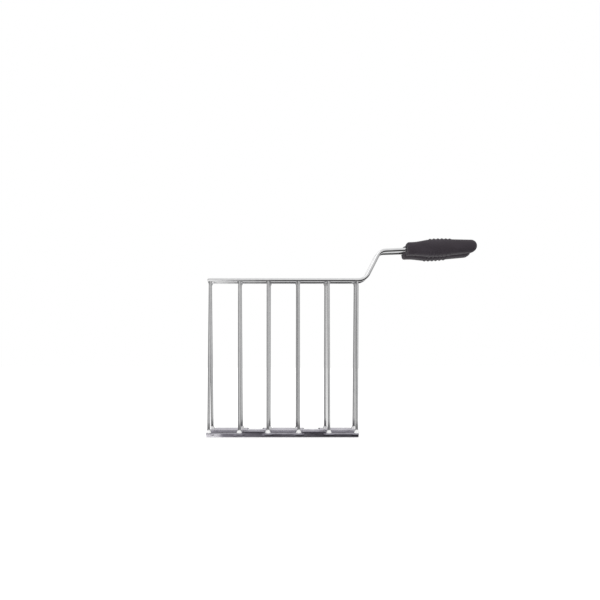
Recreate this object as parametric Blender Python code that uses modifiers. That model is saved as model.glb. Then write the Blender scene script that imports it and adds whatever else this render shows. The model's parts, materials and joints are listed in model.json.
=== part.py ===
"""Toaster sandwich cage: a tray with rolled edges, and two wire sides that hinge in it. Metres, +Z up.

The origin is the middle of the tray's underside. +X points to the grips, and the front side is at -Y.
The cage is modelled closed and empty: both sides lean inwards until their grips meet.
"""

import math

import bmesh
import bpy
from mathutils import Vector

MM = 0.001
GAP = 0.3 * MM  # room left between two pieces that touch

# Tray: a strip of sheet metal whose long edges are rolled round the hinge rods
TRAY_LENGTH = 140 * MM
SHEET = 0.8 * MM
CURL_RADIUS = 2.7 * MM  # outside; the curl rests on the floor plane
CURL_TURN = math.radians(300)
CURL_STEPS = 20
HINGE_SPREAD = 12.4 * MM  # a hinge axis, from the middle plane
HINGE_HEIGHT = CURL_RADIUS

# Cuts in the rolled edges, as angles from straight up over a hinge axis. A notch lets a wire pass. An open
# bay leaves out the roll between two wires. Both leave a lip outside, where a wire stops.
NOTCH_WIDTH = 6 * MM
EAR_WIDTH = 3.6 * MM  # what an open bay at the back leaves of the roll beside a notch
CUT_OUTWARDS = math.radians(78)
NOTCH_INWARDS = math.radians(46)
BAY_INWARDS = math.radians(126)  # past the roll's end
CUT_REACH = CURL_RADIUS + 0.3 * MM
CUT_STEPS = 9

# Upright wires and the hinge rods they stand on. Each wire is (foot, head) along X, in millimetres:
# they are welded by eye, so their even pitch of about 27.5 wanders by a millimetre.
FRONT_WIRES = ((-68.1, -67.7), (-39.8, -40.3), (-13.5, -13.6), (15, 15.1), (42.9, 43), (68.5, 70))
BACK_WIRES = ((-68.4, -69), (-39.8, -40.3), (-12.9, -12.4), (14.1, 14.2), (41.5, 41.3), (69.2, 69.6))
WIRE_RADIUS = 1.25 * MM
HINGE_ROD_RADIUS = 1.6 * MM
HINGE_ROD_LENGTH = 140.6 * MM
ROUND_SIDES = 16

# Handle rods: rail, S-bend and run
ROD_RADIUS = 1.75 * MM
HANDLE_SPREAD = 6.2 * MM  # a rod lies in one upright plane, this far from the middle plane
RAIL_HEIGHT = 146.1 * MM
RAIL_END = -70 * MM
LOWER_BEND = 77.5 * MM  # where rail and diagonal would meet
LOWER_BEND_RADIUS = 11 * MM
UPPER_BEND = 91.4 * MM  # where diagonal and run would meet
UPPER_BEND_HEIGHT = 173.5 * MM
UPPER_BEND_RADIUS = 8.5 * MM
FRONT_RUN_SLOPE = 0.043
BACK_RUN_SLOPE = 0.03
RUN_END = 165 * MM
BEND_STEPS = 7

# Grips: length along the run, and half the height at some distances from the blunt end. A grip is
# thicker outside its rod than inside, so its own middle line is further out.
GRIP_SPREAD = 9 * MM
GRIP_START = 115.8 * MM
GRIP_LENGTH = 64.7 * MM
GRIP_TIP_RADIUS = 5.9 * MM
GRIP_HALF_HEIGHTS = ((0, 6.0), (8, 6.1), (20.5, 7.6), (32, 7.6), (44, 6.8), (58.8, 5.9))
GRIP_CORNER = 1.5 * MM
GRIP_INNER_FACE = 0.35 * MM  # the flat face, from the middle plane
GRIP_INNER_FULLNESS = 1.1  # how far past the flat face the section would bulge
INNER_SQUARENESS = 0.6  # powers under 1 square the inner half of a section
INNER_TALLNESS = 0.8
GRIP_SIDES = 24
CORNER_STEPS = 3
TIP_STEPS = 5
PLAIN_STATIONS = (5, 9, 13, 17, 44, 48.5, 54)  # where the grip has no ribs
BORE_RADIUS = ROD_RADIUS + GAP + 0.05 * MM
BORE_DEPTH = 51 * MM
RIB_COUNT = 6
RIB_PITCH = 3.66 * MM
RIB_FIRST = 21.2 * MM
RIB_WIDTH = 2.4 * MM
RIB_HEIGHT = 0.7 * MM
RIB_SPAN = 3  # a rib stands on the top and underside, and fades towards the sides with this power

FRONT = -1
BACK = 1
WIRES = {FRONT: FRONT_WIRES, BACK: BACK_WIRES}
RUN_SLOPE = {FRONT: FRONT_RUN_SLOPE, BACK: BACK_RUN_SLOPE}


# Scene, materials and small helpers


def clear_scene():
    for old in list(bpy.data.objects):
        bpy.data.objects.remove(old, do_unlink=True)


def make_collection(name):
    collection = bpy.data.collections.new(name)
    bpy.context.scene.collection.children.link(collection)
    return collection


def make_material(name, colour, roughness, metallic):
    material = bpy.data.materials.new(name)
    material.use_nodes = True
    shader = material.node_tree.nodes["Principled BSDF"]
    shader.inputs["Base Color"].default_value = (*colour, 1)
    shader.inputs["Roughness"].default_value = roughness
    shader.inputs["Metallic"].default_value = metallic
    material.diffuse_color = (*colour, 1)
    return material


def make_object(name, data, collection, material=None, parent=None):
    piece = bpy.data.objects.new(name, data)
    collection.objects.link(piece)
    if material:
        data.materials.append(material)
    piece.parent = parent
    return piece


def mesh_from(bm, name):
    bmesh.ops.recalc_face_normals(bm, faces=bm.faces)
    mesh = bpy.data.meshes.new(name)
    bm.to_mesh(mesh)
    bm.free()
    mesh.shade_smooth()
    mesh.set_sharp_from_angle(angle=math.radians(40))
    return mesh


def cylinder_mesh(name, radius, length):
    """A solid cylinder along Z, centred on its origin."""
    bm = bmesh.new()
    bmesh.ops.create_cone(
        bm, cap_ends=True, segments=ROUND_SIDES, radius1=radius, radius2=radius, depth=length
    )
    return mesh_from(bm, name)


# Tray


def tray_section():
    """Half of the sheet's middle line as (y, z), from the middle plane out and round the curl at +Y."""
    bend_radius = CURL_RADIUS - SHEET / 2
    points = [(0, SHEET / 2)]
    for step in range(CURL_STEPS + 1):
        angle = -math.pi / 2 + CURL_TURN * step / CURL_STEPS
        y = HINGE_SPREAD + bend_radius * math.cos(angle)
        points.append((y, HINGE_HEIGHT + bend_radius * math.sin(angle)))
    return points


def tray_cuts(side):
    """(start, end, inwards) of each cut along one rolled edge. Bays 1, 3 and 5 are open at the front, from
    notch to notch. Bays 2 and 4 are open at the back, between ears."""
    feet = [foot * MM for foot, _ in WIRES[side]]
    half = NOTCH_WIDTH / 2
    if side == FRONT:
        return [(low - half, high + half, BAY_INWARDS) for low, high in zip(feet[0::2], feet[1::2])]
    cuts = [(foot - half, foot + half, NOTCH_INWARDS) for foot in feet]
    ear = half + EAR_WIDTH
    cuts += [(low + ear, high - ear, BAY_INWARDS) for low, high in zip(feet[1:4:2], feet[2:5:2])]
    return cuts


def cut_outline(inwards):
    """A cut seen along X, as (outwards, up) from its hinge axis: a wedge with its point on the axis."""
    outline = [(0, 0)]
    for step in range(CUT_STEPS + 1):
        angle = -inwards + (inwards + CUT_OUTWARDS) * step / CUT_STEPS
        outline.append((CUT_REACH * math.sin(angle), CUT_REACH * math.cos(angle)))
    return outline


def make_tray_cutter(collection):
    bm = bmesh.new()
    for side in (FRONT, BACK):
        for start, end, inwards in tray_cuts(side):
            corners = [
                bm.verts.new((start, side * (HINGE_SPREAD + out), HINGE_HEIGHT + up))
                for out, up in cut_outline(inwards)
            ]
            face = bm.faces.new(corners)
            swept = bmesh.ops.extrude_face_region(bm, geom=[face])
            moved = [item for item in swept["geom"] if isinstance(item, bmesh.types.BMVert)]
            bmesh.ops.translate(bm, vec=(end - start, 0, 0), verts=moved)
    cutter = make_object("tray_cutter", mesh_from(bm, "tray_cutter"), collection)
    cutter.hide_render = True
    cutter.display_type = "WIRE"
    return cutter


def make_tray(collection, cutters, material):
    bm = bmesh.new()
    line = [bm.verts.new((-TRAY_LENGTH / 2, y, z)) for y, z in tray_section()]
    edges = [bm.edges.new(pair) for pair in zip(line, line[1:])]
    swept = bmesh.ops.extrude_edge_only(bm, edges=edges)
    moved = [item for item in swept["geom"] if isinstance(item, bmesh.types.BMVert)]
    bmesh.ops.translate(bm, vec=(TRAY_LENGTH, 0, 0), verts=moved)
    tray = make_object("tray", mesh_from(bm, "tray"), collection, material)
    mirror = tray.modifiers.new("other_edge", "MIRROR")
    mirror.use_axis = (False, True, False)
    mirror.merge_threshold = 0.01 * MM
    sheet = tray.modifiers.new("sheet", "SOLIDIFY")
    sheet.thickness = SHEET
    sheet.offset = 0
    cuts = tray.modifiers.new("cuts", "BOOLEAN")
    cuts.operation = "DIFFERENCE"
    cuts.solver = "EXACT"
    cuts.object = make_tray_cutter(cutters)


# Wire sides


def make_hinge(name, side, collection):
    hinge = make_object(name, None, collection)
    hinge.location = (0, side * HINGE_SPREAD, HINGE_HEIGHT)
    return hinge


def make_hinge_rod(name, hinge, collection, material):
    mesh = cylinder_mesh(name, HINGE_ROD_RADIUS, HINGE_ROD_LENGTH)
    rod = make_object(name, mesh, collection, material, hinge)
    rod.rotation_euler = (0, math.radians(90), 0)


def make_wire(name, foot, head, parent, collection, material):
    mesh = cylinder_mesh(name, WIRE_RADIUS, (head - foot).length)
    wire = make_object(name, mesh, collection, material, parent)
    wire.location = (foot + head) / 2
    wire.rotation_euler = (head - foot).to_track_quat("Z", "Y").to_euler()


def make_wires(prefix, side, hinge, collection, material):
    """Upright wires, from just clear of the hinge rod to just clear of the rail."""
    rail = Vector((0, side * (HANDLE_SPREAD - HINGE_SPREAD), RAIL_HEIGHT - HINGE_HEIGHT))
    up = rail.normalized()
    low = up * (HINGE_ROD_RADIUS + GAP)
    high = up * (rail.length - ROD_RADIUS - GAP)
    for index, (foot, head) in enumerate(WIRES[side], start=1):
        foot_place = low + Vector((foot * MM, 0, 0))
        head_place = high + Vector((head * MM, 0, 0))
        make_wire(f"{prefix}_wire_{index}", foot_place, head_place, hinge, collection, material)


def rounded_path(corners, radii):
    """Points along straight stretches that meet in arcs. The first and last corners are ends."""
    points = [corners[0]]
    for before, corner, after, radius in zip(corners, corners[1:], corners[2:], radii):
        arriving = (corner - before).normalized()
        leaving = (after - corner).normalized()
        turn = arriving.angle(leaving)
        inwards = (leaving - arriving * arriving.dot(leaving)).normalized()
        start = corner - arriving * radius * math.tan(turn / 2)
        for step in range(BEND_STEPS + 1):
            angle = turn * step / BEND_STEPS
            along = arriving * radius * math.sin(angle)
            points.append(start + along + inwards * radius * (1 - math.cos(angle)))
    points.append(corners[-1])
    return points


def run_height(x, side):
    return UPPER_BEND_HEIGHT + RUN_SLOPE[side] * (x - UPPER_BEND)


def make_handle_rod(name, side, hinge, collection, material):
    corners = [
        Vector((RAIL_END, side * HANDLE_SPREAD, RAIL_HEIGHT)),
        Vector((LOWER_BEND, side * HANDLE_SPREAD, RAIL_HEIGHT)),
        Vector((UPPER_BEND, side * HANDLE_SPREAD, UPPER_BEND_HEIGHT)),
        Vector((RUN_END, side * HANDLE_SPREAD, run_height(RUN_END, side))),
    ]
    points = rounded_path(corners, (LOWER_BEND_RADIUS, UPPER_BEND_RADIUS))
    curve = bpy.data.curves.new(name, "CURVE")
    curve.dimensions = "3D"
    curve.bevel_depth = ROD_RADIUS
    curve.bevel_resolution = 4
    curve.use_fill_caps = True
    spline = curve.splines.new("POLY")
    spline.points.add(len(points) - 1)
    for control, point in zip(spline.points, points):
        control.co = (*(point - hinge.location), 1)
    make_object(name, curve, collection, material, hinge)


# Grips


def half_height_at(distance):
    """Half the grip's height, on a smooth curve through GRIP_HALF_HEIGHTS."""
    stops = [(place * MM, height * MM) for place, height in GRIP_HALF_HEIGHTS]
    distance = min(distance, stops[-1][0])
    index = max(i for i in range(len(stops) - 1) if stops[i][0] <= distance)
    (left, low), (right, high) = stops[index], stops[index + 1]
    before = stops[max(index - 1, 0)]
    after = stops[min(index + 2, len(stops) - 1)]
    low_slope = (high - before[1]) / (right - before[0])
    high_slope = (after[1] - low) / (after[0] - left)
    span = right - left
    t = (distance - left) / span
    return (
        low * (1 - t) ** 2 * (1 + 2 * t)
        + high * t**2 * (3 - 2 * t)
        + low_slope * span * t * (1 - t) ** 2
        - high_slope * span * t**2 * (1 - t)
    )


def rib_rise(distance):
    """How far a rib stands above the grip at this distance."""
    for index in range(RIB_COUNT):
        offset = abs(distance - RIB_FIRST - index * RIB_PITCH)
        if offset < RIB_WIDTH / 2:
            return RIB_HEIGHT * math.cos(math.pi * offset / RIB_WIDTH)
    return 0


def grip_stations():
    """(distance, inset, scale) of each section, from the blunt end to the tip."""
    stations = []
    for step in range(CORNER_STEPS + 1):
        angle = math.pi / 2 * step / CORNER_STEPS
        stations.append((GRIP_CORNER * (1 - math.cos(angle)), GRIP_CORNER * (1 - math.sin(angle)), 1))
    body = [distance * MM for distance in PLAIN_STATIONS]
    for index in range(RIB_COUNT):
        middle = RIB_FIRST + index * RIB_PITCH
        body += [middle + RIB_WIDTH * part for part in (-0.5, -0.25, 0, 0.25, 0.5)]
    stations += [(distance, 0, 1) for distance in sorted(body)]
    tip_start = GRIP_LENGTH - GRIP_TIP_RADIUS
    for step in range(TIP_STEPS + 1):
        angle = math.pi / 2 * step / TIP_STEPS
        stations.append((tip_start + GRIP_TIP_RADIUS * math.sin(angle), 0, max(math.cos(angle), 0)))
    return stations


def grip_section(distance, inset, scale):
    """One section as (outwards, up) from the grip's middle line: round outside, flat inside."""
    half_height = (half_height_at(distance) - inset) * scale
    face = GRIP_SPREAD - GRIP_INNER_FACE
    inner = (face * GRIP_INNER_FULLNESS - inset) * scale
    points = []
    for step in range(GRIP_SIDES):
        angle = 2 * math.pi * step / GRIP_SIDES
        out, up = math.cos(angle), math.sin(angle)
        rise = rib_rise(distance) * abs(up) ** RIB_SPAN
        if out < 0:
            out = -(abs(out) ** INNER_SQUARENESS) * inner
            up = math.copysign(abs(up) ** INNER_TALLNESS, up)
        else:
            out *= half_height
        points.append((max(out, inset - face), up * half_height + math.copysign(rise, up)))
    return points


def make_bore_cutter(name, side, hinge, collection):
    """A blind bore for the rod, open at the blunt end."""
    mesh = cylinder_mesh(name, BORE_RADIUS, 2 * BORE_DEPTH)
    cutter = make_object(name, mesh, collection, parent=hinge)
    place_on_run(cutter, side, HANDLE_SPREAD, hinge)
    cutter.rotation_euler.y += math.radians(90)
    cutter.hide_render = True
    cutter.display_type = "WIRE"
    return cutter


def place_on_run(piece, side, spread, hinge):
    """Puts a piece level with the grip's blunt end, with its X along the run."""
    place = Vector((GRIP_START, side * spread, run_height(GRIP_START, side)))
    piece.location = place - hinge.location
    piece.rotation_euler = (0, -math.atan(RUN_SLOPE[side]), 0)


def make_grip(name, side, hinge, collection, cutters, material):
    bm = bmesh.new()
    rings = []
    for station in grip_stations():
        section = grip_section(*station)
        rings.append([bm.verts.new((station[0], side * out, up)) for out, up in section])
    for ring, following in zip(rings, rings[1:]):
        for index in range(GRIP_SIDES):
            after = (index + 1) % GRIP_SIDES
            bm.faces.new((ring[index], ring[after], following[after], following[index]))
    bm.faces.new(rings[0])
    bmesh.ops.remove_doubles(bm, verts=bm.verts, dist=0.001 * MM)
    grip = make_object(name, mesh_from(bm, name), collection, material, hinge)
    place_on_run(grip, side, GRIP_SPREAD, hinge)
    bore = grip.modifiers.new("bore", "BOOLEAN")
    bore.operation = "DIFFERENCE"
    bore.solver = "EXACT"
    bore.object = make_bore_cutter(f"{name}_bore", side, hinge, cutters)


def make_side(prefix, side, collection, cutters, steel, plastic):
    hinge = make_hinge(f"{prefix}_hinge", side, collection)
    make_hinge_rod(f"{prefix}_hinge_rod", hinge, collection, steel)
    make_wires(prefix, side, hinge, collection, steel)
    make_handle_rod(f"{prefix}_handle_rod", side, hinge, collection, steel)
    make_grip(f"{prefix}_grip", side, hinge, collection, cutters, plastic)


def main():
    clear_scene()
    collection = make_collection("toaster_sandwich_cage")
    cutters = make_collection("cutters")
    steel = make_material("polished_wire", (0.72, 0.72, 0.73), 0.16, 1)
    sheet = make_material("polished_sheet", (0.62, 0.61, 0.64), 0.2, 1)
    plastic = make_material("charcoal_plastic", (0.05, 0.045, 0.054), 0.5, 0)
    make_tray(collection, cutters, sheet)
    make_side("front", FRONT, collection, cutters, steel, plastic)
    make_side("back", BACK, collection, cutters, steel, plastic)


main()
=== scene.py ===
import json
import math
import random

import bmesh
import bpy
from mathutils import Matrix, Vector, noise


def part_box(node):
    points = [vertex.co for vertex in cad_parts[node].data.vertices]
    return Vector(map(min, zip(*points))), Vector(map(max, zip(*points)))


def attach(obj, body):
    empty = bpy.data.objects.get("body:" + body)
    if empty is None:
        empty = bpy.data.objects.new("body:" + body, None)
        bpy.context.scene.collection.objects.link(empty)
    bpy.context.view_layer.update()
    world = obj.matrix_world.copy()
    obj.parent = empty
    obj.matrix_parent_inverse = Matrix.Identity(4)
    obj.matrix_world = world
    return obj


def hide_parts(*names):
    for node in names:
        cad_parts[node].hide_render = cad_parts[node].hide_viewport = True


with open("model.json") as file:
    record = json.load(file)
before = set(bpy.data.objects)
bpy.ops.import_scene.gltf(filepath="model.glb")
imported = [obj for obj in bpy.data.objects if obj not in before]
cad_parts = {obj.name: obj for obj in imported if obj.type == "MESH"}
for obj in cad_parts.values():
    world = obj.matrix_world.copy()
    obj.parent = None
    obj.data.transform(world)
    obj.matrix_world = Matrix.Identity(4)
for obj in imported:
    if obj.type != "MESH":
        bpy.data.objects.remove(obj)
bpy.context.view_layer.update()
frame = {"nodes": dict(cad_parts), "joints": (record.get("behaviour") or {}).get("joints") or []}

MM = 0.001
TURN = 2 * math.pi
FRONT = -1
BACK = 1
SIDES = (("front", FRONT), ("back", BACK))
UP = Vector((0, 0, 1))
ALONG = Vector((1, 0, 0))

# Sizes that the CAD model has too, but that its boxes don't give
SHEET = 0.8 * MM
CURL_RADIUS = 2.7 * MM
CURL_START = math.radians(-90)
CURL_END = math.radians(210)
NOTCH_WIDTH = 6 * MM
EAR_WIDTH = 3.6 * MM  # what an open bay at the back leaves of the roll beside a notch
WIRE_RADIUS = 1.25 * MM
WIRE_COUNT = 6
HINGE_ROD_RADIUS = 1.6 * MM
ROD_RADIUS = 1.75 * MM
HANDLE_SPREAD = 6.2 * MM
RAIL_HEIGHT = 146.1 * MM
LOWER_BEND = 77.5 * MM
LOWER_BEND_RADIUS = 11 * MM
UPPER_BEND = 91.4 * MM
UPPER_BEND_HEIGHT = 173.5 * MM
UPPER_BEND_RADIUS = 8.5 * MM
RUN_SLOPE = {FRONT: 0.043, BACK: 0.03}
RUN_END = 165 * MM
GRIP_SPREAD = 9 * MM
GRIP_START = 115.8 * MM
GRIP_LENGTH = 64.7 * MM
GRIP_TIP_RADIUS = 5.9 * MM
GRIP_HALF_HEIGHTS = ((0, 6.0), (8, 6.1), (20.5, 7.6), (32, 7.6), (44, 6.8), (58.8, 5.9))
GRIP_CORNER = 1.5 * MM
GRIP_INNER_FACE = 0.35 * MM
GRIP_INNER_FULLNESS = 1.1  # how far past the flat face the section would bulge
INNER_SQUARENESS = 0.6  # powers under 1 square the inner half of a section
INNER_TALLNESS = 0.8
BORE_OFFSET = HANDLE_SPREAD - GRIP_SPREAD
BORE_RADIUS = 2.1 * MM
BORE_DEPTH = 51 * MM
RIB_COUNT = 6
RIB_PITCH = 3.66 * MM
RIB_FIRST = 21.2 * MM
RIB_WIDTH = 2.4 * MM
RIB_HEIGHT = 0.7 * MM
RIB_SPAN = 3  # a rib stands on the top and underside, and fades towards the sides with this power

# Sizes worked out from the frame
TRAY_LOW, TRAY_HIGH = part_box("tray")
HINGES = {joint["name"]: Vector(joint["pos_m"]) for joint in frame["joints"]}
HINGE_SPREAD = HINGES["back_hinge"].y
HINGE_HEIGHT = HINGES["back_hinge"].z


# Mesh helpers


def smooth_step(value, start, end):
    """0 up to start, 1 from end, and smooth between."""
    part = min(1, max(0, (value - start) / (end - start)))
    return part * part * (3 - 2 * part)


def finish_mesh(bm, name):
    bmesh.ops.recalc_face_normals(bm, faces=bm.faces)
    mesh = bpy.data.meshes.new(name)
    bm.to_mesh(mesh)
    bm.free()
    mesh.shade_smooth()
    return mesh


def add_piece(name, mesh, body, node, material):
    """Puts a mesh in the scene in place of a CAD node."""
    piece = bpy.data.objects.new(name, mesh)
    bpy.context.scene.collection.objects.link(piece)
    mesh.materials.append(material)
    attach(piece, body)
    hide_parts(node)


def loft(name, rings, first_cap, last_cap, marks):
    """A closed skin over rings of points, with a point that closes each end.
    Its UVs are real lengths, along the loft and round it. `marks` says how each point of each ring is
    marked: up to 1 where a wire is darkened by heat tint and painted shade and where a grip's rib is worn
    smoother, and down to -1 on a painted highlight."""
    bm = bmesh.new()
    uv_layer = bm.loops.layers.uv.new("lengths")
    mark_layer = bm.verts.layers.float.new("worked")
    sides = len(rings[0])
    centres = [sum(ring, Vector()) / sides for ring in rings]
    lengths = [0]
    for centre, following in zip(centres, centres[1:]):
        lengths.append(lengths[-1] + (following - centre).length)
    middle = len(rings) // 2
    step = TURN * max((point - centres[middle]).length for point in rings[middle]) / sides
    rows = []
    for ring, marked in zip(rings, marks):
        row = [bm.verts.new(point) for point in ring]
        for vert, mark in zip(row, marked):
            vert[mark_layer] = mark
        rows.append(row)

    def add_face(corners):
        face = bm.faces.new([vert for vert, _, _ in corners])
        for loop, (_, along, around) in zip(face.loops, corners):
            loop[uv_layer].uv = (along, around)

    for row, following, near, far in zip(rows, rows[1:], lengths, lengths[1:]):
        for side in range(sides):
            after = (side + 1) % sides
            low, high = side * step, (side + 1) * step
            add_face(
                (
                    (row[side], near, low),
                    (row[after], near, high),
                    (following[after], far, high),
                    (following[side], far, low),
                )
            )
    for row, cap, place in ((rows[0], first_cap, lengths[0]), (rows[-1], last_cap, lengths[-1])):
        tip = bm.verts.new(cap)
        for side in range(sides):
            after = (side + 1) % sides
            low, high = side * step, (side + 1) * step
            add_face(((row[after], place, high), (row[side], place, low), (tip, place, (low + high) / 2)))
    return finish_mesh(bm, name)


# Rods


ROD_SIDES = 40
ROD_SPACING = 1.2 * MM
BEND_DENSITY = 2  # how much closer the points are in a bend
ROD_WANDER = 0.004  # how far a drawn rod is from truly round, as a part of its radius
ROD_WANDER_RATE = 90  # per metre
END_STEPS = 5
HINGE_ROD_END = 0.4 * MM  # how far a rod's ends are rounded off
HANDLE_ROD_END = 0.5 * MM


def rounded_path(corners, radii):
    """Points along straight stretches that meet in arcs."""
    points = [corners[0]]

    def straight_to(point):
        start = points[-1]
        count = max(1, round((point - start).length / ROD_SPACING))
        points.extend(start.lerp(point, step / count) for step in range(1, count + 1))

    for before, corner, after, radius in zip(corners, corners[1:], corners[2:], radii):
        arriving = (corner - before).normalized()
        leaving = (after - corner).normalized()
        turn = arriving.angle(leaving)
        inwards = (leaving - arriving * arriving.dot(leaving)).normalized()
        start = corner - arriving * radius * math.tan(turn / 2)
        straight_to(start)
        count = round(BEND_DENSITY * turn * radius / ROD_SPACING)
        for step in range(1, count + 1):
            angle = turn * step / count
            along = arriving * radius * math.sin(angle)
            points.append(start + along + inwards * radius * (1 - math.cos(angle)))
    straight_to(corners[-1])
    return points


def rounded_end(tip, tangent, inwards, radius, end_round):
    """Stations from a rod's tip inwards, as (centre, tangent, radius). `inwards` is 1 along the tangent."""
    stations = []
    for step in range(END_STEPS):
        angle = math.pi / 2 * step / END_STEPS
        inset = end_round * (1 - math.cos(angle))
        narrowed = radius - end_round * (1 - math.sin(angle))
        stations.append((tip + tangent * inwards * inset, tangent, narrowed))
    return stations


def rod_mesh(name, path, radius, end_round):
    """A round rod along a path, its ends rounded off as if tumbled."""
    count = len(path)
    tangents = [(path[min(i + 1, count - 1)] - path[max(i - 1, 0)]).normalized() for i in range(count)]
    stations = rounded_end(path[0], tangents[0], 1, radius, end_round)
    stations += [(point, tangent, radius) for point, tangent in zip(path[1:-1], tangents[1:-1])]
    stations += reversed(rounded_end(path[-1], tangents[-1], -1, radius, end_round))
    sideways = tangents[0].cross(UP).normalized()
    rings = []
    for centre, tangent, reach in stations:
        sideways = (sideways - tangent * sideways.dot(tangent)).normalized()
        upwards = sideways.cross(tangent)
        ring = []
        for side in range(ROD_SIDES):
            angle = TURN * side / ROD_SIDES
            outwards = sideways * math.cos(angle) + upwards * math.sin(angle)
            wander = 1 - ROD_WANDER * (1 + noise.noise((centre + outwards * radius) * ROD_WANDER_RATE))
            ring.append(centre + outwards * reach * wander)
        rings.append(ring)
    return loft(name, rings, path[0], path[-1], [[0] * ROD_SIDES] * len(rings))


def handle_path(side):
    run_end_height = UPPER_BEND_HEIGHT + RUN_SLOPE[side] * (RUN_END - UPPER_BEND)
    corners = [
        Vector((TRAY_LOW.x, side * HANDLE_SPREAD, RAIL_HEIGHT)),
        Vector((LOWER_BEND, side * HANDLE_SPREAD, RAIL_HEIGHT)),
        Vector((UPPER_BEND, side * HANDLE_SPREAD, UPPER_BEND_HEIGHT)),
        Vector((RUN_END, side * HANDLE_SPREAD, run_end_height)),
    ]
    return rounded_path(corners, (LOWER_BEND_RADIUS, UPPER_BEND_RADIUS))


def hinge_rod_path(node, side):
    low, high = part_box(node)
    start = Vector((low.x, side * HINGE_SPREAD, HINGE_HEIGHT))
    end = Vector((high.x, side * HINGE_SPREAD, HINGE_HEIGHT))
    return rounded_path([start, end], ())


# Upright wires


WIRE_SIDES = 32
WELD_STEPS = (0, 0.07, 0.16, 0.27, 0.4, 0.55, 0.75, 1)
WELD_MARGIN = 0.25 * MM
WELD_SINK = 0.1 * MM  # how deep a weld goes into its rod
FOOT_WELD = 3.2 * MM  # height of a weld, its spread along the rod, and its spread across
FOOT_SPREAD = 1.62 * MM
HEAD_WELD = 1.9 * MM
HEAD_SPREAD = 0.9 * MM
ACROSS_SPREAD = 0.02 * MM
FOOT_HEIGHT_RANGE = (0.85, 1.15)  # how much the welds vary
FOOT_SPREAD_RANGE = (0.85, 1.05)
HEAD_HEIGHT_RANGE = (0.85, 1.15)
HEAD_SPREAD_RANGE = (0.8, 1.2)
FOOT_SEEDS = (0, 50)
HEAD_SEEDS = (50, 100)
WELD_LUMPS = 0.05 * MM
LUMP_RATE = 2  # noise round a weld, and up it
LUMP_RISE = 3
LUMP_FLATTENING = 3  # lumps across the rod are lower by this
HIGHLIGHT_FLANKS = (0.25, 0.55)  # a foot's weld is painted with a white highlight, but for flanks painted dark as shade (sines of an angle round it)
HIGHLIGHT_TOP = (0.7, 1.0)  # and it fades out here, as parts of the weld's height
FOOT_TINT_AND_SHADE = ((1, 1), (3.6, 0.85), (5.6, 0.3))  # (mm above a foot's weld, how dark the wire is: heat tint and painted shade)
HEAD_TINT_AND_SHADE = ((0.3, 0), (0.12, 0.08))  # (wire spacings below a head's weld, how dark the wire is: heat tint and painted shade)
HEAD_MARK = 0.5  # how dark a head's weld is at the rod, by heat tint and painted shade, and how much less at its other end
HEAD_MARK_FALL = 0.3
WIRE_SPACING = 8 * MM


def end_centres(node):
    """The middles of the two end faces of an upright CAD wire, lower one first."""
    points = [vert.co for vert in frame["nodes"][node].data.vertices]
    low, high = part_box(node)
    halfway = (low.z + high.z) / 2
    ends = []
    for group in ([p for p in points if p.z < halfway], [p for p in points if p.z >= halfway]):
        ends.append(sum(group, Vector()) / len(group))
    return ends


def highlight_marks(part):
    """Marks round one ring of a foot's weld: a painted highlight on the front and the back, and painted
    shade on the flanks.
    """
    marks = []
    for side in range(WIRE_SIDES):
        pale = smooth_step(abs(math.sin(TURN * side / WIRE_SIDES)), *HIGHLIGHT_FLANKS)
        pale *= 1 - smooth_step(part, *HIGHLIGHT_TOP)
        marks.append(1 - 2 * pale)
    return marks


def weld_ring(centre, axis, across, rod_radius, height, spread, part, seed):
    """One ring of a weld, from the rod's surface (part 0) to the top of the weld (part 1).
    `centre` is on the rod's axis, and `axis` leads from it into the wire. No weld passes the rod's end."""
    long_reach = WIRE_RADIUS + spread * (1 - part)
    short_reach = WIRE_RADIUS + ACROSS_SPREAD * (1 - part) ** 2
    ring = []
    for side in range(WIRE_SIDES):
        angle = TURN * side / WIRE_SIDES
        place = (LUMP_RATE * math.cos(angle), LUMP_RATE * math.sin(angle), seed + LUMP_RISE * part)
        lump = WELD_LUMPS * (1 - part) * noise.noise(Vector(place))
        out_x = (long_reach + lump) * math.cos(angle)
        out_x = max(TRAY_LOW.x + WELD_MARGIN - centre.x, min(TRAY_HIGH.x + HEAD_SPREAD - centre.x, out_x))
        out_y = (short_reach + lump / LUMP_FLATTENING) * math.sin(angle)
        sunk = math.sqrt((rod_radius - WELD_SINK) ** 2 - min(out_y**2, (rod_radius - 2 * WELD_SINK) ** 2))
        rise = sunk + (rod_radius + height - sunk) * part
        ring.append(centre + ALONG * out_x + across * out_y + axis * rise)
    return ring


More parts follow.
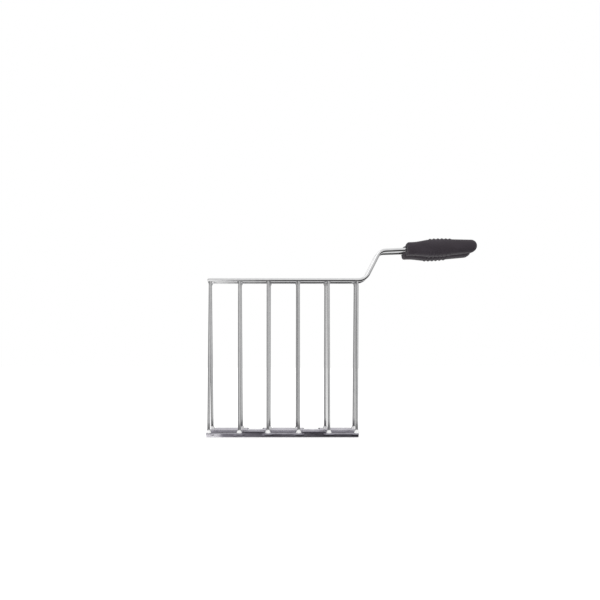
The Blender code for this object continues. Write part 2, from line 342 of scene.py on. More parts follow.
def wire_mesh(name, node, chance):
    """A wire from its hinge rod to its rail, with the flared welds that hold it."""
    low, high = end_centres(node)
    axis = (high - low).normalized()
    on_hinge_rod = Vector((low.x, math.copysign(HINGE_SPREAD, low.y), HINGE_HEIGHT))
    on_rail = Vector((high.x, math.copysign(HANDLE_SPREAD, high.y), RAIL_HEIGHT))
    foot = low - axis * (low - on_hinge_rod).length
    head = high + axis * (high - on_rail).length
    across = axis.cross(ALONG).normalized()
    foot_height = FOOT_WELD * chance.uniform(*FOOT_HEIGHT_RANGE)
    foot_spread = FOOT_SPREAD * chance.uniform(*FOOT_SPREAD_RANGE)
    head_height = HEAD_WELD * chance.uniform(*HEAD_HEIGHT_RANGE)
    head_spread = HEAD_SPREAD * chance.uniform(*HEAD_SPREAD_RANGE)
    foot_seed = chance.uniform(*FOOT_SEEDS)
    head_seed = chance.uniform(*HEAD_SEEDS)
    rings = []
    marks = []
    for part in WELD_STEPS:
        rings.append(
            weld_ring(foot, axis, across, HINGE_ROD_RADIUS, foot_height, foot_spread, part, foot_seed)
        )
        marks.append(highlight_marks(part))
    bottom = foot + axis * (HINGE_ROD_RADIUS + foot_height)
    top = head - axis * (ROD_RADIUS + head_height)
    count = round((top - bottom).length / WIRE_SPACING)
    # Darker rings above the foot weld and below the head weld: heat tint and painted shade.
    tint_and_shade = {height * MM / (top - bottom).length: mark for height, mark in FOOT_TINT_AND_SHADE}
    tint_and_shade.update((1 - depth / count, mark) for depth, mark in HEAD_TINT_AND_SHADE)
    stops = sorted([*tint_and_shade, *(step / count for step in range(1, count))])
    for stop in stops:
        centre = bottom.lerp(top, stop)
        ring = []
        for side in range(WIRE_SIDES):
            angle = TURN * side / WIRE_SIDES
            ring.append(centre + (ALONG * math.cos(angle) + across * math.sin(angle)) * WIRE_RADIUS)
        rings.append(ring)
        marks.append([tint_and_shade.get(stop, 0)] * WIRE_SIDES)
    for part in reversed(WELD_STEPS):
        rings.append(weld_ring(head, -axis, across, ROD_RADIUS, head_height, head_spread, part, head_seed))
        marks.append([HEAD_MARK - HEAD_MARK_FALL * part] * WIRE_SIDES)
    return loft(name, rings, foot + axis * WELD_SINK, head - axis * WELD_SINK, marks)


# Tray


TRAY_SPACING = 0.5 * MM
FLAT_STEPS = 14  # stations on half of the flat, and round the curl up to the notches, past them, and on
BELOW_STEPS = 18
NOTCH_STEPS = 32
INSIDE_STEPS = 10
ON_BORDER = 0.01 * MM
SLOPE_STEP = 0.01  # radians
NOTCH_LOW = math.radians(4)  # where a notch starts and ends round the curl, with room for the welds
NOTCH_HIGH = math.radians(143)
LIP_LIFT = {FRONT: math.radians(11), BACK: 0}  # how much further up an open bay's lip is, away from wires
LIP_LIFT_START = 3 * MM
LIP_LIFT_FULL = 4.5 * MM
LIP_BEND = math.radians(40)
NOTCH_CORNER = 0.9 * MM
EDGE_SOFTNESS = 0.14 * MM
RIPPLE = 0.03 * MM
RIPPLE_RATES = (55, 9, 0.6)  # per metre along the tray, from one edge to the other, and round the curl
FLAT_FACE = math.radians(-5)  # the rolling tool leaves the outside of a curl flat, and tipped downwards
FLAT_REACH = 2.06 * MM
TOP_FACE = math.radians(97)  # the top falls away inwards
TOP_REACH = 2.05 * MM
CORNER_REACH = {FRONT: 3.2 * MM, BACK: 2.5 * MM}
CORNER_START = math.radians(-60)
FLAT_START = math.radians(-10)
CORNER_END = math.radians(60)
ROUND_START = math.radians(120)
# Where the painted shade on the outside of a curl ends, round the curl.
OUTSIDE_END = math.radians(50)
OUTSIDE_FADED = math.radians(85)
FOLD_START = (math.radians(25), math.radians(38))  # the corner between the two flats, painted dark as shade
FOLD_END = (math.radians(62), math.radians(80))
FLATNESS_LEAST = 0.4  # at a wire's foot
FLATNESS_START = 2.4 * MM
FLATNESS_FULL = 5.5 * MM
TAPER = 1.3 * MM  # a tab narrows towards its end
TAPER_REACH = 3.6 * MM
TAPER_START = math.radians(20)
TAPER_END = math.radians(150)
FLAT_BLEND = 36


def wire_feet(prefix):
    return [end_centres(f"{prefix}_wire_{index}")[0].x for index in range(1, WIRE_COUNT + 1)]


def tray_cuts(side, feet):
    """(start, end, far limit round the curl) of each cut along one rolled edge. A notch passes a wire. An
    open bay leaves out the whole roll: bays 1, 3 and 5 at the front, and 2 and 4 at the back."""
    half = NOTCH_WIDTH / 2
    if side == FRONT:
        return [(low - half, high + half, CURL_END) for low, high in zip(feet[0::2], feet[1::2])]
    cuts = [(foot - half, foot + half, NOTCH_HIGH) for foot in feet]
    ear = half + EAR_WIDTH
    cuts += [(low + ear, high - ear, CURL_END) for low, high in zip(feet[1:4:2], feet[2:5:2])]
    return cuts


def section_stations():
    """Stations across the tray as (side, y from the middle, angle round the curl), front lip to back lip.
    On the flat, the angle is that of the curl's start, straight down."""
    low, high = NOTCH_LOW, NOTCH_HIGH
    angles = [CURL_START + (low - CURL_START) * step / BELOW_STEPS for step in range(BELOW_STEPS)]
    angles += [low + (high - low) * step / NOTCH_STEPS for step in range(NOTCH_STEPS)]
    angles += [high + (CURL_END - high) * step / INSIDE_STEPS for step in range(INSIDE_STEPS + 1)]
    half = [(HINGE_SPREAD * step / FLAT_STEPS, CURL_START) for step in range(1, FLAT_STEPS)]
    half += [(HINGE_SPREAD, angle) for angle in angles]
    front = [(FRONT, y, angle) for y, angle in reversed(half)]
    back = [(BACK, y, angle) for y, angle in half]
    return front + [(BACK, 0, CURL_START)] + back


def curl_point(side, angle, flatness):
    """A point of the curl's middle line as (outwards, up) from the hinge axis.
    The curl is round below and inside. Its outside and its top are flats that meet in a corner, but at the
    wires (flatness 0) it is round all over."""
    bend = CURL_RADIUS - SHEET / 2
    squareness = smooth_step(angle, CORNER_START, FLAT_START)
    squareness *= 1 - smooth_step(angle, CORNER_END, ROUND_START)
    fullness = bend + (CORNER_REACH[side] - bend) * squareness
    total = fullness**-FLAT_BLEND
    for facing, reach in ((FLAT_FACE, FLAT_REACH), (TOP_FACE, TOP_REACH)):
        total += max(0, math.cos(angle - facing) / reach) ** FLAT_BLEND
    reach = bend + (total ** (-1 / FLAT_BLEND) - bend) * flatness
    return reach * math.cos(angle), reach * math.sin(angle)


def section_point(side, y, angle, flatness):
    """A point of the sheet's middle line, then the direction out of the sheet, each as outwards and up."""
    if angle <= CURL_START:
        return y, SHEET / 2, 0, -1
    out, up = curl_point(side, angle, flatness)
    before = curl_point(side, angle - SLOPE_STEP, flatness)
    after = curl_point(side, angle + SLOPE_STEP, flatness)
    run_out, run_up = after[0] - before[0], after[1] - before[1]
    length = math.hypot(run_out, run_up)
    return y + out, HINGE_HEIGHT + up, run_up / length, -run_out / length


def x_stations(edges):
    """Stations along the tray, with one on each end of each notch."""
    inset = EDGE_SOFTNESS
    start, end = TRAY_LOW.x + inset, TRAY_HIGH.x - inset
    count = round((end - start) / TRAY_SPACING)
    stations = [start + (end - start) * step / count for step in range(count + 1)]
    for edge in edges:
        if start < edge < end:
            nearest = min(range(1, count), key=lambda i: abs(stations[i] - edge))
            stations[nearest] = edge
    return stations


def tray_mesh(name):
    """The sheet as a grid over its middle surface, with the cuts left out, thickened both ways."""
    feet = {side: wire_feet(prefix) for prefix, side in SIDES}
    cuts = {side: tray_cuts(side, feet[side]) for _, side in SIDES}
    section = section_stations()
    stations = x_stations(sorted(edge for ranges in cuts.values() for cut in ranges for edge in cut[:2]))
    bend = CURL_RADIUS - SHEET / 2

    def in_cut(x, side, angle):
        return any(low < x < high and NOTCH_LOW < angle < limit for low, high, limit in cuts[side])

    cells = []
    for i in range(len(stations) - 1):
        x = (stations[i] + stations[i + 1]) / 2
        for j in range(len(section) - 1):
            side = section[j][0] if abs(section[j][1]) >= abs(section[j + 1][1]) else section[j + 1][0]
            angle = (section[j][2] + section[j + 1][2]) / 2
            if not in_cut(x, side, angle):
                cells.append((i, j))

    def eased(x, side, angle):
        """Rounds the inner corners of the cuts."""
        for low, high, far in cuts[side]:
            limits = [(NOTCH_LOW, 1)] + ([(NOTCH_HIGH, -1)] if far == NOTCH_HIGH else [])
            for edge, inwards in ((low, 1), (high, -1)):
                for limit, upwards in limits:
                    from_edge = (x - edge) * inwards
                    from_limit = (angle - limit) * upwards * bend
                    on_border = abs(from_edge) < ON_BORDER or abs(from_limit) < ON_BORDER
                    if not on_border or min(from_edge, from_limit) < -ON_BORDER:
                        continue
                    if max(from_edge, from_limit) > NOTCH_CORNER:
                        continue
                    away_x = from_edge - NOTCH_CORNER
                    away_y = from_limit - NOTCH_CORNER
                    scale = NOTCH_CORNER / math.hypot(away_x, away_y)
                    x = edge + inwards * (NOTCH_CORNER + away_x * scale)
                    angle = limit + upwards * (NOTCH_CORNER + away_y * scale) / bend
                    return x, angle
        return x, angle

    def tapered(x, side, angle):
        """Narrows the tabs beside open bays."""
        shift = TAPER * smooth_step(angle, TAPER_START, TAPER_END)
        for low, high, far in cuts[side]:
            for edge, outwards in ((low, -1), (high, 1)):
                distance = (x - edge) * outwards
                if far == CURL_END and -ON_BORDER < distance < TAPER_REACH:
                    return x + outwards * shift * (1 - distance / TAPER_REACH)
        return x

    middles = {}
    normals = {}
    for i, j in {(i + a, j + b) for i, j in cells for a in (0, 1) for b in (0, 1)}:
        side, y, angle = section[j]
        x = stations[i]
        if angle > CURL_START:
            x, angle = eased(x, side, angle)
            x = tapered(x, side, angle)
        nearest = min(abs(x - foot) for foot in feet[side])
        flatness = smooth_step(nearest, FLATNESS_START, FLATNESS_FULL)
        flatness = FLATNESS_LEAST + (1 - FLATNESS_LEAST) * flatness
        if angle > CURL_START:
            lift = LIP_LIFT[side] * smooth_step(nearest, LIP_LIFT_START, LIP_LIFT_FULL)
            lift *= 1 - smooth_step(abs(angle - NOTCH_LOW), 0, LIP_BEND)
            angle += lift
        out, up, normal_out, normal_up = section_point(side, y, angle, flatness)
        normal = Vector((0, side * normal_out, normal_up))
        rolled = min(1, max(0, angle - CURL_START))
        place = [value * rate for value, rate in zip((x, side, angle), RIPPLE_RATES)]
        ripple = RIPPLE * rolled * noise.noise(Vector(place))
        middles[i, j] = Vector((x, side * out, up)) + normal * ripple
        normals[i, j] = normal

    borders = {}
    for i, j in cells:
        corners = ((i, j), (i + 1, j), (i + 1, j + 1), (i, j + 1))
        for start, end in zip(corners, corners[1:] + corners[:1]):
            if (end, start) in borders:
                del borders[end, start]
            else:
                borders[start, end] = True
    outwards = {}
    for start, end in borders:
        run = middles[end] - middles[start]
        push = run.cross(normals[start] + normals[end]).normalized()
        for key in (start, end):
            outwards[key] = outwards.get(key, Vector()) + push
    first = next(iter(cells))
    corners = ((first[0], first[1]), (first[0] + 1, first[1]), (first[0] + 1, first[1] + 1))
    across = (middles[corners[1]] - middles[corners[0]]).cross(middles[corners[2]] - middles[corners[1]])
    facing = 1 if across.dot(normals[first]) > 0 else -1

    bm = bmesh.new()
    shaded_outside_layer = bm.verts.layers.float.new("outside")
    fold_shade_layer = bm.verts.layers.float.new("fold_shade")
    layers = {"outer": {}, "outer_rim": {}, "inner_rim": {}, "inner": {}}
    half = SHEET / 2
    for key, middle in middles.items():
        normal = normals[key]
        layers["outer"][key] = bm.verts.new(middle + normal * half)
        if key in outwards:
            away = outwards[key].normalized() * facing * EDGE_SOFTNESS
            layers["outer_rim"][key] = bm.verts.new(middle + normal * (half - EDGE_SOFTNESS) + away)
            layers["inner_rim"][key] = bm.verts.new(middle - normal * (half - EDGE_SOFTNESS) + away)
        layers["inner"][key] = bm.verts.new(middle - normal * half)
    # Painted shade: the outside of each curl is marked to be darker, and the corner between its flats darker
    # still.
    for layer in (layers["outer"], layers["outer_rim"]):
        for (_, j), vert in layer.items():
            angle = section[j][2]
            vert[shaded_outside_layer] = 1 - smooth_step(angle, OUTSIDE_END, OUTSIDE_FADED)
            vert[fold_shade_layer] = smooth_step(angle, *FOLD_START) * (1 - smooth_step(angle, *FOLD_END))
    for i, j in cells:
        corners = ((i, j), (i + 1, j), (i + 1, j + 1), (i, j + 1))
        bm.faces.new([layers["outer"][key] for key in corners])
        bm.faces.new([layers["inner"][key] for key in reversed(corners)])
    order = [layers[part] for part in ("outer", "outer_rim", "inner_rim", "inner")]
    for start, end in borders:
        for above, below in zip(order, order[1:]):
            bm.faces.new((above[end], above[start], below[start], below[end]))
    return finish_mesh(bm, name)


# Grips


GRIP_SIDES = 96
BODY_SPACING = 0.3 * MM
BORE_EASE = 0.25 * MM
END_FACE_PARTS = (0.35, 0.7)  # rings between the bore's mouth and the rim of the blunt end
CORNER_STEPS = 8
TIP_STEPS = 16


def half_height_at(distance):
    """Half the grip's height, on a smooth curve through GRIP_HALF_HEIGHTS."""
    stops = [(place * MM, height * MM) for place, height in GRIP_HALF_HEIGHTS]
    distance = min(distance, stops[-1][0])
    index = max(i for i in range(len(stops) - 1) if stops[i][0] <= distance)
    (left, low), (right, high) = stops[index], stops[index + 1]
    before = stops[max(index - 1, 0)]
    after = stops[min(index + 2, len(stops) - 1)]
    low_slope = (high - before[1]) / (right - before[0])
    high_slope = (after[1] - low) / (after[0] - left)
    span = right - left
    t = (distance - left) / span
    return (
        low * (1 - t) ** 2 * (1 + 2 * t)
        + high * t**2 * (3 - 2 * t)
        + low_slope * span * t * (1 - t) ** 2
        - high_slope * span * t**2 * (1 - t)
    )


def rib_rise(distance):
    """How far a rib stands above the grip at this distance."""
    for index in range(RIB_COUNT):
        offset = abs(distance - RIB_FIRST - index * RIB_PITCH)
        if offset < RIB_WIDTH / 2:
            return RIB_HEIGHT * math.cos(math.pi * offset / RIB_WIDTH)
    return 0


def grip_section(distance, inset, scale):
    """One section as (outwards, up) from the grip's middle line: round outside, flat inside."""
    half_height = (half_height_at(distance) - inset) * scale
    face = GRIP_SPREAD - GRIP_INNER_FACE
    inner = (face * GRIP_INNER_FULLNESS - inset) * scale
    points = []
    for step in range(GRIP_SIDES):
        angle = TURN * step / GRIP_SIDES
        out, up = math.cos(angle), math.sin(angle)
        rise = rib_rise(distance) * abs(up) ** RIB_SPAN
        if out < 0:
            out = -(abs(out) ** INNER_SQUARENESS) * inner
            up = math.copysign(abs(up) ** INNER_TALLNESS, up)
        else:
            out *= half_height
        points.append((max(out, inset - face), up * half_height + math.copysign(rise, up)))
    return points


def grip_mesh(name, side):
    """A grip with its blind bore, lofted from the bottom of the bore round to the tip."""
    start_height = UPPER_BEND_HEIGHT + RUN_SLOPE[side] * (GRIP_START - UPPER_BEND)
    start = Vector((GRIP_START, side * GRIP_SPREAD, start_height))
    run = Vector((1, 0, RUN_SLOPE[side])).normalized()
    rise = Vector((-RUN_SLOPE[side], 0, 1)).normalized()

    def place(distance, out, up):
        return start + run * distance + Vector((0, side * out, 0)) + rise * up

    def circle(distance, radius):
        angles = [TURN * step / GRIP_SIDES for step in range(GRIP_SIDES)]
        return [place(distance, BORE_OFFSET + radius * math.cos(a), radius * math.sin(a)) for a in angles]

    mouth = circle(0, BORE_RADIUS + BORE_EASE)
    rings = [circle(BORE_DEPTH, BORE_RADIUS), circle(BORE_EASE, BORE_RADIUS), mouth]
    rim = [place(0, out, up) for out, up in grip_section(0, GRIP_CORNER, 1)]
    for part in END_FACE_PARTS:
        rings.append([inner.lerp(outer, part) for inner, outer in zip(mouth, rim)])
    marks = [0] * len(rings)
    stations = []
    for step in range(CORNER_STEPS + 1):
        angle = math.pi / 2 * step / CORNER_STEPS
        stations.append((GRIP_CORNER * (1 - math.cos(angle)), GRIP_CORNER * (1 - math.sin(angle)), 1))
    tip_start = GRIP_LENGTH - GRIP_TIP_RADIUS
    count = round((tip_start - GRIP_CORNER) / BODY_SPACING)
    for step in range(1, count):
        stations.append((GRIP_CORNER + (tip_start - GRIP_CORNER) * step / count, 0, 1))
    for step in range(TIP_STEPS):
        angle = math.pi / 2 * step / TIP_STEPS
        stations.append((tip_start + GRIP_TIP_RADIUS * math.sin(angle), 0, math.cos(angle)))
    for distance, inset, scale in stations:
        rings.append([place(distance, out, up) for out, up in grip_section(distance, inset, scale)])
        marks.append(rib_rise(distance) / RIB_HEIGHT)
    bottom = place(BORE_DEPTH, BORE_OFFSET, 0)
    return loft(name, rings, bottom, place(GRIP_LENGTH, 0, 0), [[mark] * GRIP_SIDES for mark in marks])


# Materials. Colours are linear, and a grain's rates are per metre.


# Dark patches at the welds: heat tint, with painted shade round each painted highlight and up each wire's
# foot.
HEAT_TINT_AND_SHADE = (0.29, 0.288, 0.292, 1)
HIGHLIGHT_COLOURS = ((0.86, 0.86, 0.86, 1), (1.0, 1.0, 1.0, 1))  # painted highlights on the foot welds; each pair is a dim and a bright colour
WIRE = ((0.7, 0.7, 0.71, 1), (0.8, 0.8, 0.8, 1))
# Painted shade: darker copies of the wire for the hinge rods, much darker at the front than at the back.
SHADED_WIRE = ((0.27, 0.26, 0.29, 1), (0.37, 0.36, 0.4, 1))
DIMMED_WIRE = ((0.54, 0.53, 0.57, 1), (0.7, 0.69, 0.73, 1))
SHEET_INSIDE = ((0.5, 0.485, 0.53, 1), (0.6, 0.585, 0.63, 1))
# The outside of the curls is painted darker as shade.
SHADED_SHEET_OUTSIDE = ((0.21, 0.195, 0.235, 1), (0.29, 0.275, 0.32, 1))
# Painted reflection on the outside of the tray's left end.
SHEET_LIT_END = (0.72, 0.7, 0.75, 1)
# Painted shade in the corner between the flats of a curl.
SHEET_FOLD_SHADE = (0.07, 0.065, 0.08, 1)
CHARCOAL = ((0.03, 0.0235, 0.031, 1), (0.038, 0.03, 0.039, 1))
PALE_FLOOR = ((0.6, 0.6, 0.6, 1), (0.63, 0.63, 0.63, 1))
LIT_END_RANGE = (54 * MM, 60 * MM)  # the outside of the tray's left end is painted bright as a reflection, from here to here
DRAWN_LINES = (260, 9000, 1)  # along a wire, and round it
ROLLED_LINES = (70, 5200, 5200)
FLOW_MARKS = (60, 200, 200)
STAINS = (110, 160, 160)
HAZE = (240, 240, 240)
MOTTLE = (9, 9, 9)
WELD_GRAIN = (1500, 1500, 1500)
SPECKS = (2200, 2200, 2200)
MOULDED_SKIN = (3800, 3800, 3800)
HAZE_TINT_AND_SHADE = (0.7, 1.0)  # how dark a darkened patch is, by the haze
WIRE_ROUGHNESS = (0.05, 0.11)
WIRE_LINES_ROUGHNESS = (0, 0.05)
WORKED_ROUGHNESS = 0.14
SHEET_ROUGHNESS = (0.13, 0.24)
SHEET_LINES_ROUGHNESS = (0, 0.08)
PLASTIC_ROUGHNESS = (0.5, 0.66)
RIB_ROUGHNESS = -0.08
PLASTIC_SPECULAR = 0.3
FLOOR_ROUGHNESS = 0.9
DRAWN_BUMP = (0.1, 0.004 * MM)  # a bump's strength and height
WELD_BUMP = (0.5, 0.1 * MM)
ROLLED_BUMP = (0.15, 0.006 * MM)
SPECK_BUMP = (0.1, 0.01 * MM)
SKIN_BUMP = (0.35, 0.05 * MM)


def new_material(name):
    material = bpy.data.materials.new(name)
    material.use_nodes = True
    tree = material.node_tree
    return material, tree, tree.nodes["Principled BSDF"]


def add_node(tree, kind, inputs=None, **settings):
    """A node with its settings, and its inputs: a value, or the output that feeds it."""
    node = tree.nodes.new(kind)
    for key, value in settings.items():
        setattr(node, key, value)
    for key, value in (inputs or {}).items():
        if isinstance(value, bpy.types.NodeSocket):
            tree.links.new(value, node.inputs[key])
        else:
            node.inputs[key].default_value = value
    return node


def grain(tree, coordinates, scale, detail=3.0, roughness=0.5):
    """Noise stretched by a scale along each axis, from 0 to 1."""
    mapping = add_node(tree, "ShaderNodeMapping", {"Vector": coordinates, "Scale": scale})
    inputs = {"Vector": mapping.outputs["Vector"], "Scale": 1.0, "Detail": detail, "Roughness": roughness}
    return add_node(tree, "ShaderNodeTexNoise", inputs).outputs["Fac"]


def ranged(tree, value, low, high, from_low=0.3, from_high=0.7):
    inputs = {"Value": value, "From Min": from_low, "From Max": from_high, "To Min": low, "To Max": high}
    return add_node(tree, "ShaderNodeMapRange", inputs, clamp=True).outputs["Result"]


def step_up(tree, value, start, end):
    """0 below start, 1 above end, and smooth between."""
    inputs = {"Value": value, "From Min": start, "From Max": end, "To Min": 0.0, "To Max": 1.0}
    return add_node(tree, "ShaderNodeMapRange", inputs, interpolation_type="SMOOTHSTEP").outputs["Result"]


def mixed(tree, factor, first, second):
    node = add_node(tree, "ShaderNodeMix", data_type="RGBA")
    for socket, value in ((node.inputs[0], factor), (node.inputs[6], first), (node.inputs[7], second)):
        if isinstance(value, bpy.types.NodeSocket):
            tree.links.new(value, socket)
        else:
            socket.default_value = value
    return node.outputs[2]


def math_node(tree, operation, first, second):
    node = add_node(tree, "ShaderNodeMath", operation=operation)
    for socket, value in zip(node.inputs, (first, second)):
        if isinstance(value, bpy.types.NodeSocket):
            tree.links.new(value, socket)
        else:
            socket.default_value = value
    return node.outputs[0]


def bumped(tree, height, strength, distance, normal=None):
    """A normal that follows a height, on top of another normal if there is one."""
    inputs = {"Strength": strength, "Distance": distance, "Height": height}
    if normal:
        inputs["Normal"] = normal
    return add_node(tree, "ShaderNodeBump", inputs).outputs["Normal"]


def polished_wire(name, colours):
    """Plated wire: fine drawing lines along it, a little haze, dark patches at the welds that are heat tint
    and painted shade, and painted white highlights on the foot welds.
    """
    material, tree, shader = new_material(name)
    coordinates = tree.nodes.new("ShaderNodeTexCoord")
    lines = grain(tree, coordinates.outputs["UV"], DRAWN_LINES, detail=4)
    haze = grain(tree, coordinates.outputs["Object"], HAZE, detail=5, roughness=0.6)
    mark = add_node(tree, "ShaderNodeAttribute", attribute_name="worked").outputs["Fac"]
    worked = math_node(tree, "MAXIMUM", mark, 0.0)
    # Negative marks give the painted highlight on the foot welds: a pale white, set as non-metal below.
    highlight = math_node(tree, "MAXIMUM", math_node(tree, "MULTIPLY", mark, -1.0), 0.0)
    bright = mixed(tree, ranged(tree, haze, 0, 1), *colours)
    # Positive marks darken the wire: heat tint at the welds, and painted shade.
    tint_and_shade = math_node(tree, "MULTIPLY", worked, ranged(tree, haze, *HAZE_TINT_AND_SHADE))
    colour = mixed(tree, tint_and_shade, bright, HEAT_TINT_AND_SHADE)
    colour = mixed(tree, highlight, colour, mixed(tree, haze, *HIGHLIGHT_COLOURS))
    tree.links.new(colour, shader.inputs["Base Color"])
    tree.links.new(math_node(tree, "SUBTRACT", 1.0, highlight), shader.inputs["Metallic"])
    smooth = ranged(tree, haze, *WIRE_ROUGHNESS)
    lined = math_node(tree, "ADD", smooth, ranged(tree, lines, *WIRE_LINES_ROUGHNESS))
    rough = math_node(tree, "ADD", lined, math_node(tree, "MULTIPLY", worked, WORKED_ROUGHNESS))
    tree.links.new(rough, shader.inputs["Roughness"])
    fine = bumped(tree, lines, *DRAWN_BUMP)
    lumpy = grain(tree, coordinates.outputs["Object"], WELD_GRAIN, detail=2)
    weld_height = math_node(tree, "MULTIPLY", lumpy, worked)
    tree.links.new(bumped(tree, weld_height, *WELD_BUMP, fine), shader.inputs["Normal"])
    return material


def polished_sheet():
    """Plated sheet with a faint violet cast: rolling lines along the tray and soft stains. The outside of
    the curls is painted darker as shade, painted bright as a reflection at the left end, and painted darkest
    as shade in the corner between its flats.
    """
    material, tree, shader = new_material("polished_sheet")
    shader.inputs["Metallic"].default_value = 1
    coordinates = tree.nodes.new("ShaderNodeTexCoord").outputs["Object"]
    lines = grain(tree, coordinates, ROLLED_LINES, detail=4)
    stains = grain(tree, coordinates, STAINS, detail=5, roughness=0.6)
    specks = grain(tree, coordinates, SPECKS, detail=2)
    # Painted shade on the outside of the curls.
    outside = add_node(tree, "ShaderNodeAttribute", attribute_name="outside").outputs["Fac"]
    inner = mixed(tree, ranged(tree, stains, 0, 1), *SHEET_INSIDE)
    outer = mixed(tree, ranged(tree, stains, 0, 1), *SHADED_SHEET_OUTSIDE)
    along = add_node(tree, "ShaderNodeSeparateXYZ", {"Vector": coordinates}).outputs["X"]
    # Painted reflection: the outside of the left end is painted bright.
    lit_end = step_up(tree, math_node(tree, "MULTIPLY", along, -1.0), *LIT_END_RANGE)
    outer = mixed(tree, lit_end, outer, SHEET_LIT_END)
    # Painted shade in the corner between the flats.
    fold_shade = add_node(tree, "ShaderNodeAttribute", attribute_name="fold_shade").outputs["Fac"]
    plated = mixed(tree, outside, inner, outer)
    tree.links.new(mixed(tree, fold_shade, plated, SHEET_FOLD_SHADE), shader.inputs["Base Color"])
    smooth = ranged(tree, stains, *SHEET_ROUGHNESS)
    rough = math_node(tree, "ADD", smooth, ranged(tree, lines, *SHEET_LINES_ROUGHNESS))
    tree.links.new(rough, shader.inputs["Roughness"])
    rolled = bumped(tree, lines, *ROLLED_BUMP)
    tree.links.new(bumped(tree, specks, *SPECK_BUMP, rolled), shader.inputs["Normal"])
    return material


def charcoal_plastic():
    """Soft-touch moulded plastic: a fine dull grain, faint flow marks, and ribs worn smoother."""
    material, tree, shader = new_material("charcoal_plastic")
    coordinates = tree.nodes.new("ShaderNodeTexCoord").outputs["Object"]
    flow = grain(tree, coordinates, FLOW_MARKS, detail=4)
    skin = grain(tree, coordinates, MOULDED_SKIN, detail=2)
    worked = add_node(tree, "ShaderNodeAttribute", attribute_name="worked").outputs["Fac"]
    colour = mixed(tree, ranged(tree, flow, 0, 1), *CHARCOAL)
    tree.links.new(colour, shader.inputs["Base Color"])
    shader.inputs["Specular IOR Level"].default_value = PLASTIC_SPECULAR
    smoother = math_node(tree, "MULTIPLY", worked, RIB_ROUGHNESS)
    rough = math_node(tree, "ADD", ranged(tree, skin, *PLASTIC_ROUGHNESS), smoother)
    tree.links.new(rough, shader.inputs["Roughness"])
    tree.links.new(bumped(tree, skin, *SKIN_BUMP), shader.inputs["Normal"])
    return material


# Studio


FLOOR_REACH = 4
FLOOR_CELLS = 24
FLOOR_GLOW = 0.5
SOFTBOX_PLACE = Vector((-0.2, 0.1, 1.4))
SOFTBOX_TARGET = Vector((0, 0, 0.08))
SOFTBOX_WIDTH = 1.2
SOFTBOX_DEPTH = 0.9
SOFTBOX_WATTS = 1
CAMERA_PLACE = (2.35 * MM, -463 * MM, 71.25 * MM)
FOCAL_LENGTH = 29.3  # on a sensor 36 wide
SENSOR_WIDTH = 36
SHIFT_X = 0.025
SHIFT_Y = 0.1
CLIP_START = 10 * MM

# What metal sees of the studio. A level is a grey, and it takes over between the two values of its range,
# which are of one direction: leftwards, rightwards, up, down or backwards, or towards the bright patch.
LEVEL_AROUND = 0.78
LEVEL_LEFT = 0.28
LEFT_RANGE = (0.1, 0.55)
LEVEL_RIGHT = 0.5
RIGHT_RANGE = (0.3, 0.85)
LEVEL_ABOVE = 0.95
ABOVE_RANGE = (0.3, 0.9)
BELOW_RANGE = (0.17, 0.35)
LEVEL_BELOW_FRONT = 0.03
LEVEL_BELOW_LEFT = 0.3
BELOW_LEFT_RANGE = (0.0, 0.1)
LEVEL_BELOW_FAR_LEFT = 1.15
BELOW_FAR_LEFT_RANGE = (0.09, 0.15)
LEVEL_BELOW_BACK = 1.0
BELOW_BACK_RANGE = (0.15, 0.65)
PATCH_DIRECTION = (-0.72, -0.2, 0.66)
LEVEL_PATCH = 1.6
PATCH_RANGE = (0.83, 0.92)


def add_floor():
    bm = bmesh.new()
    bmesh.ops.create_grid(bm, x_segments=FLOOR_CELLS, y_segments=FLOOR_CELLS, size=FLOOR_REACH)
    floor = bpy.data.objects.new("floor", finish_mesh(bm, "floor"))
    bpy.context.scene.collection.objects.link(floor)
    material, tree, shader = new_material("pale_floor")
    coordinates = tree.nodes.new("ShaderNodeTexCoord").outputs["Object"]
    mottle = grain(tree, coordinates, MOTTLE, detail=4)
    colour = mixed(tree, ranged(tree, mottle, 0, 1), *PALE_FLOOR)
    tree.links.new(colour, shader.inputs["Base Color"])
    shader.inputs["Emission Color"].default_value = (1, 1, 1, 1)
    shader.inputs["Emission Strength"].default_value = FLOOR_GLOW
    shader.inputs["Roughness"].default_value = FLOOR_ROUGHNESS
    shader.inputs["Specular IOR Level"].default_value = 0
    floor.data.materials.append(material)
    floor.visible_glossy = False


def grey(level):
    return (level, level, level, 1)


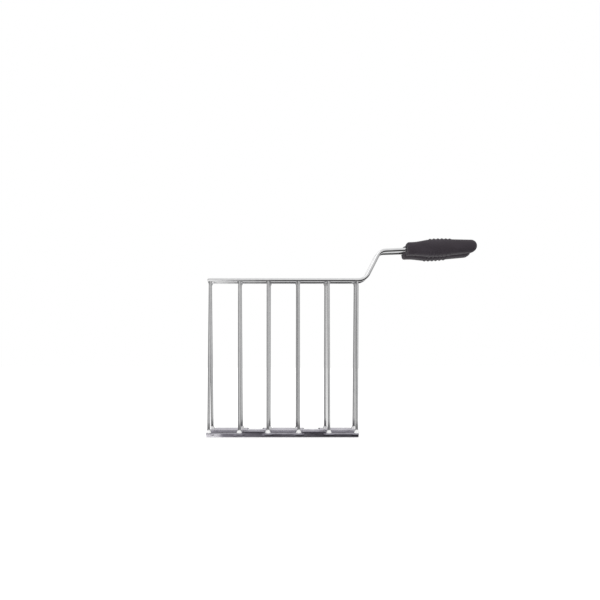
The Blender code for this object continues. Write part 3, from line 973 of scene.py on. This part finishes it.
def add_world():
    """A white studio. What metal sees of it is greyer: light above, dim at the left, and dark low in
    front, with one bright patch high at the left."""
    world = bpy.data.worlds.new("studio")
    bpy.context.scene.world = world
    world.use_nodes = True
    tree = world.node_tree
    direction = tree.nodes.new("ShaderNodeTexCoord").outputs["Generated"]
    parts = add_node(tree, "ShaderNodeSeparateXYZ", {"Vector": direction})
    x, y, z = parts.outputs["X"], parts.outputs["Y"], parts.outputs["Z"]
    leftwards = math_node(tree, "MULTIPLY", x, -1.0)
    downwards = math_node(tree, "MULTIPLY", z, -1.0)
    level = mixed(tree, step_up(tree, leftwards, *LEFT_RANGE), grey(LEVEL_AROUND), grey(LEVEL_LEFT))
    level = mixed(tree, step_up(tree, x, *RIGHT_RANGE), level, grey(LEVEL_RIGHT))
    lit = mixed(tree, step_up(tree, z, *ABOVE_RANGE), level, grey(LEVEL_ABOVE))
    left_step = step_up(tree, leftwards, *BELOW_LEFT_RANGE)
    low_front = mixed(tree, left_step, grey(LEVEL_BELOW_FRONT), grey(LEVEL_BELOW_LEFT))
    far_left_step = step_up(tree, leftwards, *BELOW_FAR_LEFT_RANGE)
    low_front = mixed(tree, far_left_step, low_front, grey(LEVEL_BELOW_FAR_LEFT))
    low = mixed(tree, step_up(tree, y, *BELOW_BACK_RANGE), low_front, grey(LEVEL_BELOW_BACK))
    seen = mixed(tree, step_up(tree, downwards, *BELOW_RANGE), lit, low)
    inputs = {0: direction, 1: PATCH_DIRECTION}
    towards_patch = add_node(tree, "ShaderNodeVectorMath", inputs, operation="DOT_PRODUCT")
    patch_step = step_up(tree, towards_patch.outputs["Value"], *PATCH_RANGE)
    seen = mixed(tree, patch_step, seen, grey(LEVEL_PATCH))
    rays = tree.nodes.new("ShaderNodeLightPath")
    shown = mixed(tree, rays.outputs["Is Glossy Ray"], grey(1.0), seen)
    background = tree.nodes["Background"]
    tree.links.new(shown, background.inputs["Color"])
    background.inputs["Strength"].default_value = 1


def add_softbox():
    light = bpy.data.lights.new("top_softbox", "AREA")
    light.shape = "RECTANGLE"
    light.size = SOFTBOX_WIDTH
    light.size_y = SOFTBOX_DEPTH
    light.energy = SOFTBOX_WATTS
    softbox = bpy.data.objects.new("top_softbox", light)
    bpy.context.scene.collection.objects.link(softbox)
    softbox.location = SOFTBOX_PLACE
    softbox.rotation_euler = (SOFTBOX_TARGET - SOFTBOX_PLACE).to_track_quat("-Z", "Y").to_euler()
    softbox.visible_camera = False
    softbox.visible_glossy = False


def add_camera():
    lens = bpy.data.cameras.new("camera")
    lens.sensor_width = SENSOR_WIDTH
    lens.lens = FOCAL_LENGTH
    lens.shift_x = SHIFT_X
    lens.shift_y = SHIFT_Y
    lens.clip_start = CLIP_START
    camera = bpy.data.objects.new("camera", lens)
    bpy.context.scene.collection.objects.link(camera)
    camera.location = CAMERA_PLACE
    camera.rotation_euler = (math.radians(90), 0, 0)
    bpy.context.scene.camera = camera


# The object


CHANCE = random.Random(7)  # a fixed seed, so that each run gives the same welds
bright_wire = polished_wire("polished_wire", WIRE)
# The hinge rods take darker copies of the wire as painted shade, the front one darkest.
hinge_wire = {
    FRONT: polished_wire("shaded_wire", SHADED_WIRE),
    BACK: polished_wire("dimmed_wire", DIMMED_WIRE),
}
metal_sheet = polished_sheet()
plastic = charcoal_plastic()

add_piece("rolled_tray", tray_mesh("rolled_tray"), "tray", "tray", metal_sheet)
for prefix, side in SIDES:
    body = f"{prefix}_side"
    node = f"{prefix}_hinge_rod"
    piece = f"{node}_round"
    mesh = rod_mesh(piece, hinge_rod_path(node, side), HINGE_ROD_RADIUS, HINGE_ROD_END)
    add_piece(piece, mesh, body, node, hinge_wire[side])
    for index in range(1, WIRE_COUNT + 1):
        node = f"{prefix}_wire_{index}"
        piece = f"{node}_welded"
        mesh = wire_mesh(piece, node, CHANCE)
        add_piece(piece, mesh, body, node, bright_wire)
    node = f"{prefix}_handle_rod"
    piece = f"{node}_bent"
    mesh = rod_mesh(piece, handle_path(side), ROD_RADIUS, HANDLE_ROD_END)
    add_piece(piece, mesh, body, node, bright_wire)
    node = f"{prefix}_grip"
    piece = f"{node}_moulded"
    add_piece(piece, grip_mesh(piece, side), body, node, plastic)

add_floor()
add_world()
add_softbox()
add_camera()
bpy.context.scene.view_settings.view_transform = "Standard"
